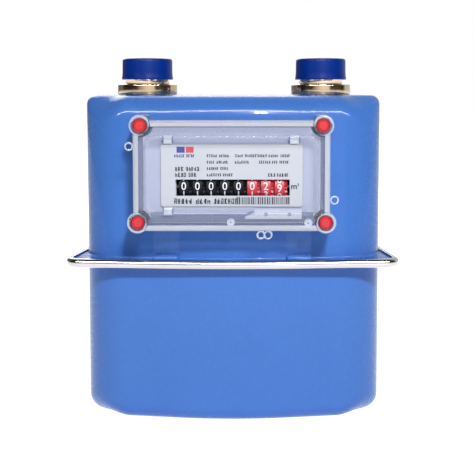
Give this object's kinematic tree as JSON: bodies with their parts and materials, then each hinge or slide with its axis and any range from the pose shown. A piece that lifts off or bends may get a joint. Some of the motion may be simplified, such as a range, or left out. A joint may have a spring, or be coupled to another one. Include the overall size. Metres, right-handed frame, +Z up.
{
  "type": "gas meter",
  "caption": "Domestic diaphragm gas meter: two-shell blue steel case with a crimped steel band, two capped threaded connections on top and a clear sealed index with number wheels.",
  "frame": {"origin": "middle of the overall width and depth, at the underside of the case", "axes": "+X to the right as seen from the dial side, +Y to the back, +Z up towards the connections"},
  "size_m": [0.1966, 0.1626, 0.2167],
  "materials": {
    "case_paint": "glossy sky-blue powder coat",
    "band_steel": "bright crimped stainless",
    "seal_rubber": "matt black",
    "zinc_yellow": "yellow-passivated zinc plate",
    "cap_plastic": "satin dark blue soft plastic",
    "clear_plastic": "clear polycarbonate",
    "seal_red": "red plastic",
    "dial_white": "printed off-white plate",
    "wheel_black": "satin black",
    "wheel_red": "satin red",
    "grey_plastic": "moulded grey",
    "white_plastic": "moulded white",
    "steel": "zinc plated",
    "brass": "turned brass",
    "diaphragm_fabric": "rubber-coated fabric"
  },
  "bodies": {
    "meter": {"upper_case": "case_paint", "lower_case": "case_paint", "clamp_band": "band_steel", "case_gasket": "seal_rubber", "inlet_washer": "seal_rubber", "outlet_washer": "seal_rubber", "index_gasket": "seal_rubber", "inlet_boss": "zinc_yellow", "outlet_boss": "zinc_yellow", "index_cover": "clear_plastic", "seal_plug_1": "seal_red", "seal_plug_2": "seal_red", "seal_plug_3": "seal_red", "seal_plug_4": "seal_red", "dial_plate": "dial_white", "index_base": "grey_plastic", "valve_table": "grey_plastic", "chamber_housing": "grey_plastic", "crank_bridge": "grey_plastic", "register_frame": "white_plastic", "outlet_duct": "white_plastic", "left_chamber_cover": "white_plastic", "right_chamber_cover": "white_plastic", "inlet_locknut": "steel", "outlet_locknut": "steel", "wheel_shaft": "steel", "pinion_shaft": "steel", "cover_screw_1": "steel", "cover_screw_2": "steel", "cover_screw_3": "steel", "cover_screw_4": "steel", "shaft_gland": "brass", "left_diaphragm": "diaphragm_fabric", "right_diaphragm": "diaphragm_fabric"},
    "inlet_cap": {"inlet_cap": "cap_plastic"},
    "outlet_cap": {"outlet_cap": "cap_plastic"},
    "crank": {"crank": "white_plastic"},
    "index_shaft": {"index_shaft": "steel"},
    "transfer_arbor": {"transfer_arbor": "brass"},
    "number_wheel_1": {"number_wheel_1": "wheel_black"},
    "number_wheel_2": {"number_wheel_2": "wheel_black"},
    "number_wheel_3": {"number_wheel_3": "wheel_black"},
    "number_wheel_4": {"number_wheel_4": "wheel_black"},
    "number_wheel_5": {"number_wheel_5": "wheel_black"},
    "number_wheel_6": {"number_wheel_6": "wheel_red"},
    "number_wheel_7": {"number_wheel_7": "wheel_red"},
    "number_wheel_8": {"number_wheel_8": "wheel_red"},
    "carry_pinion_1": {"carry_pinion_1": "white_plastic"},
    "carry_pinion_2": {"carry_pinion_2": "white_plastic"},
    "carry_pinion_3": {"carry_pinion_3": "white_plastic"},
    "carry_pinion_4": {"carry_pinion_4": "white_plastic"},
    "carry_pinion_5": {"carry_pinion_5": "white_plastic"},
    "carry_pinion_6": {"carry_pinion_6": "white_plastic"},
    "carry_pinion_7": {"carry_pinion_7": "white_plastic"},
    "left_slide_valve": {"left_slide_valve": "white_plastic"},
    "left_flag_rod": {"left_flag_rod": "steel"},
    "left_diaphragm_disc": {"left_diaphragm_disc": "steel"},
    "right_slide_valve": {"right_slide_valve": "white_plastic"},
    "right_flag_rod": {"right_flag_rod": "steel"},
    "right_diaphragm_disc": {"right_diaphragm_disc": "steel"}
  },
  "joints": [
    {"name": "inlet_cap_pull", "type": "slide", "parent": "meter", "child": "inlet_cap", "axis": [0, 0, 1], "range_m": [0, 0.03]},
    {"name": "outlet_cap_pull", "type": "slide", "parent": "meter", "child": "outlet_cap", "axis": [0, 0, 1], "range_m": [0, 0.03]},
    {"name": "crank_spin", "type": "hinge", "parent": "meter", "child": "crank", "pos_m": [0, 0.0087, 0.12], "axis": [0, 0, 1], "continuous": true},
    {"name": "index_shaft_spin", "type": "hinge", "parent": "meter", "child": "index_shaft", "pos_m": [0, -0.0273, 0.1609], "axis": [0, 1, 0], "continuous": true},
    {"name": "transfer_arbor_spin", "type": "hinge", "parent": "meter", "child": "transfer_arbor", "pos_m": [0, -0.0627, 0.1543], "axis": [1, 0, 0], "continuous": true},
    {"name": "number_wheel_8_spin", "type": "hinge", "parent": "meter", "child": "number_wheel_8", "pos_m": [0.0279, -0.0627, 0.1418], "axis": [1, 0, 0], "continuous": true},
    {"name": "number_wheel_7_spin", "type": "hinge", "parent": "meter", "child": "number_wheel_7", "pos_m": [0.02017, -0.0627, 0.1418], "axis": [1, 0, 0], "continuous": true},
    {"name": "number_wheel_6_spin", "type": "hinge", "parent": "meter", "child": "number_wheel_6", "pos_m": [0.01244, -0.0627, 0.1418], "axis": [1, 0, 0], "continuous": true},
    {"name": "number_wheel_5_spin", "type": "hinge", "parent": "meter", "child": "number_wheel_5", "pos_m": [0.00471, -0.0627, 0.1418], "axis": [1, 0, 0], "continuous": true},
    {"name": "number_wheel_4_spin", "type": "hinge", "parent": "meter", "child": "number_wheel_4", "pos_m": [-0.00301, -0.0627, 0.1418], "axis": [1, 0, 0], "continuous": true},
    {"name": "number_wheel_3_spin", "type": "hinge", "parent": "meter", "child": "number_wheel_3", "pos_m": [-0.01074, -0.0627, 0.1418], "axis": [1, 0, 0], "continuous": true},
    {"name": "number_wheel_2_spin", "type": "hinge", "parent": "meter", "child": "number_wheel_2", "pos_m": [-0.01847, -0.0627, 0.1418], "axis": [1, 0, 0], "continuous": true},
    {"name": "number_wheel_1_spin", "type": "hinge", "parent": "meter", "child": "number_wheel_1", "pos_m": [-0.0262, -0.0627, 0.1418], "axis": [1, 0, 0], "continuous": true},
    {"name": "carry_pinion_7_spin", "type": "hinge", "parent": "meter", "child": "carry_pinion_7", "pos_m": [0.02017, -0.0627, 0.1318], "axis": [1, 0, 0], "continuous": true},
    {"name": "carry_pinion_6_spin", "type": "hinge", "parent": "meter", "child": "carry_pinion_6", "pos_m": [0.01244, -0.0627, 0.1318], "axis": [1, 0, 0], "continuous": true},
    {"name": "carry_pinion_5_spin", "type": "hinge", "parent": "meter", "child": "carry_pinion_5", "pos_m": [0.00471, -0.0627, 0.1318], "axis": [1, 0, 0], "continuous": true},
    {"name": "carry_pinion_4_spin", "type": "hinge", "parent": "meter", "child": "carry_pinion_4", "pos_m": [-0.00301, -0.0627, 0.1318], "axis": [1, 0, 0], "continuous": true},
    {"name": "carry_pinion_3_spin", "type": "hinge", "parent": "meter", "child": "carry_pinion_3", "pos_m": [-0.01074, -0.0627, 0.1318], "axis": [1, 0, 0], "continuous": true},
    {"name": "carry_pinion_2_spin", "type": "hinge", "parent": "meter", "child": "carry_pinion_2", "pos_m": [-0.01847, -0.0627, 0.1318], "axis": [1, 0, 0], "continuous": true},
    {"name": "carry_pinion_1_spin", "type": "hinge", "parent": "meter", "child": "carry_pinion_1", "pos_m": [-0.0262, -0.0627, 0.1318], "axis": [1, 0, 0], "continuous": true},
    {"name": "left_valve_stroke", "type": "slide", "parent": "meter", "child": "left_slide_valve", "axis": [0, 1, 0], "range_m": [-0.004, 0.004]},
    {"name": "left_flag_swing", "type": "hinge", "parent": "meter", "child": "left_flag_rod", "pos_m": [-0.016, -0.0183, 0.06], "axis": [0, 0, 1], "range_deg": [-18, 18]},
    {"name": "left_diaphragm_stroke", "type": "slide", "parent": "meter", "child": "left_diaphragm_disc", "axis": [1, 0, 0], "range_m": [-0.009, 0.009]},
    {"name": "right_valve_stroke", "type": "slide", "parent": "meter", "child": "right_slide_valve", "axis": [0, 1, 0], "range_m": [-0.004, 0.004]},
    {"name": "right_flag_swing", "type": "hinge", "parent": "meter", "child": "right_flag_rod", "pos_m": [0.016, -0.0183, 0.06], "axis": [0, 0, 1], "range_deg": [-18, 18]},
    {"name": "right_diaphragm_stroke", "type": "slide", "parent": "meter", "child": "right_diaphragm_disc", "axis": [1, 0, 0], "range_m": [-0.009, 0.009]}
  ],
  "couplings": [
    {"joint": "index_shaft_spin", "follows": "crank_spin", "ratio": -1},
    {"joint": "transfer_arbor_spin", "follows": "crank_spin", "ratio": 0.15},
    {"joint": "number_wheel_8_spin", "follows": "crank_spin", "ratio": -0.12},
    {"joint": "number_wheel_7_spin", "follows": "crank_spin", "ratio": -0.012},
    {"joint": "number_wheel_6_spin", "follows": "crank_spin", "ratio": -0.0012},
    {"joint": "number_wheel_5_spin", "follows": "crank_spin", "ratio": -0.00012},
    {"joint": "number_wheel_4_spin", "follows": "crank_spin", "ratio": -0.000012},
    {"joint": "number_wheel_3_spin", "follows": "crank_spin", "ratio": -0.0000012},
    {"joint": "number_wheel_2_spin", "follows": "crank_spin", "ratio": -0.00000012},
    {"joint": "number_wheel_1_spin", "follows": "crank_spin", "ratio": -0.000000012},
    {"joint": "carry_pinion_7_spin", "follows": "crank_spin", "ratio": 0.03},
    {"joint": "carry_pinion_6_spin", "follows": "crank_spin", "ratio": 0.003},
    {"joint": "carry_pinion_5_spin", "follows": "crank_spin", "ratio": 0.0003},
    {"joint": "carry_pinion_4_spin", "follows": "crank_spin", "ratio": 0.00003},
    {"joint": "carry_pinion_3_spin", "follows": "crank_spin", "ratio": 0.000003},
    {"joint": "carry_pinion_2_spin", "follows": "crank_spin", "ratio": 0.0000003},
    {"joint": "carry_pinion_1_spin", "follows": "crank_spin", "ratio": 0.00000003},
    {"joint": "left_diaphragm_stroke", "follows": "left_flag_swing", "m_per_rad": -0.028},
    {"joint": "right_diaphragm_stroke", "follows": "right_flag_swing", "m_per_rad": -0.028}
  ]
}
